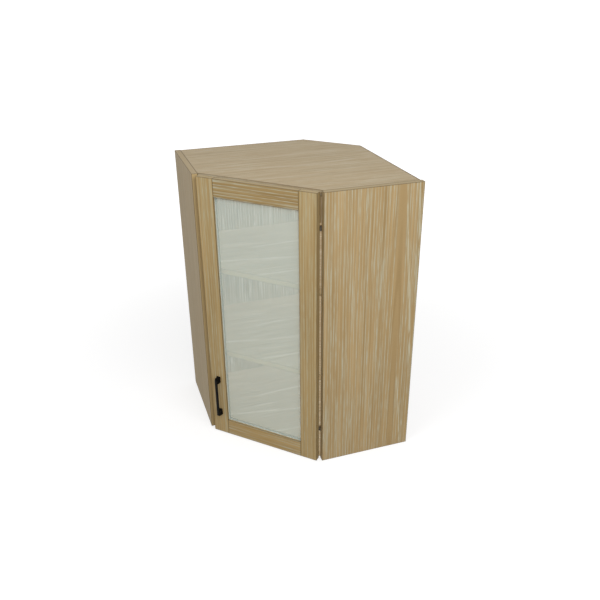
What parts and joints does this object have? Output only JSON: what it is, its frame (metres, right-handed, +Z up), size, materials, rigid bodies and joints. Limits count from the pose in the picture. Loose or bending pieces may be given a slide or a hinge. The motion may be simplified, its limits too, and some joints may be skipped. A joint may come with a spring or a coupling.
{
  "type": "corner wall cabinet",
  "caption": "Corner wall cabinet: deep shelves behind a glazed framed door across the slanting front, with a bow handle, cup hinges and adjustable hanging hooks.",
  "frame": {"origin": "on the underside's plane, at the centre of the square that the cabinet takes up in the room corner", "axes": "+Z up; +X and +Y towards the two room walls that the cabinet hangs on, so that the door faces (-X, -Y)"},
  "size_m": [0.6, 0.6, 0.9],
  "materials": {
    "oak_decor_board": "chipboard faced with a pale whitewashed oak decor, satin",
    "oak_decor_hardboard": "thin hardboard printed with the same oak decor, matt",
    "oak_decor_door": "fibreboard frame wrapped in the same oak decor, satin",
    "beech": "plain beech, unfinished",
    "zinc_steel": "zinc-plated steel",
    "nickel_steel": "nickel-plated pressed steel",
    "bright_steel": "ground steel",
    "die_cast_zinc": "die-cast zinc alloy, dull grey",
    "beige_plastic": "beige moulded plastic",
    "white_plastic": "off-white moulded plastic",
    "clear_soft_plastic": "soft translucent plastic",
    "clear_glass": "clear float glass",
    "grey_rubber": "soft grey glazing seal",
    "black_painted_metal": "satin black"
  },
  "bodies": {
    "carcass": {"side_panel_left": "oak_decor_board", "side_panel_right": "oak_decor_board", "bottom_panel": "oak_decor_board", "top_panel": "oak_decor_board", "shelf_1": "oak_decor_board", "shelf_2": "oak_decor_board", "back_panel_left": "oak_decor_hardboard", "back_panel_right": "oak_decor_hardboard", "back_panel_corner": "oak_decor_hardboard", "back_panel_nails": "zinc_steel", "carcass_dowels": "beech", "cam_locks": "die_cast_zinc", "cam_bolts": "zinc_steel", "cam_caps": "beige_plastic", "shelf_pegs": "zinc_steel", "door_buffers": "clear_soft_plastic", "hinge_arm_upper": "nickel_steel", "hinge_arm_lower": "nickel_steel", "hinge_arm_screws": "zinc_steel", "hinge_plate_upper": "nickel_steel", "hinge_plate_lower": "nickel_steel", "hinge_plate_screws": "zinc_steel", "hanger_case_left": "zinc_steel", "hanger_case_right": "zinc_steel", "hanger_adjusters": "zinc_steel", "hanger_screws": "zinc_steel", "hanger_cover_left": "white_plastic", "hanger_cover_right": "white_plastic"},
    "door": {"door_stile_left": "oak_decor_door", "door_stile_right": "oak_decor_door", "door_rail_top": "oak_decor_door", "door_rail_bottom": "oak_decor_door", "door_frame_dowels": "beech", "door_glass": "clear_glass", "glazing_seal": "grey_rubber", "door_handle": "black_painted_metal", "handle_screws": "zinc_steel", "hinge_cup_upper": "nickel_steel", "hinge_cup_lower": "nickel_steel", "hinge_pin_upper": "bright_steel", "hinge_pin_lower": "bright_steel", "hinge_cup_screws": "zinc_steel"},
    "hanger_hook_left": {"hanger_hook_left": "zinc_steel"},
    "hanger_hook_right": {"hanger_hook_right": "zinc_steel"}
  },
  "joints": [
    {"name": "door_swing", "type": "hinge", "parent": "carcass", "child": "door", "pos_m": [-0.01909, -0.27949, 0.45], "axis": [0, 0, 1], "range_deg": [0, 95]},
    {"name": "left_hook_slide", "type": "slide", "parent": "carcass", "child": "hanger_hook_left", "axis": [0, 1, 0], "range_m": [0, 0.01]},
    {"name": "right_hook_slide", "type": "slide", "parent": "carcass", "child": "hanger_hook_right", "axis": [1, 0, 0], "range_m": [0, 0.01]}
  ]
}
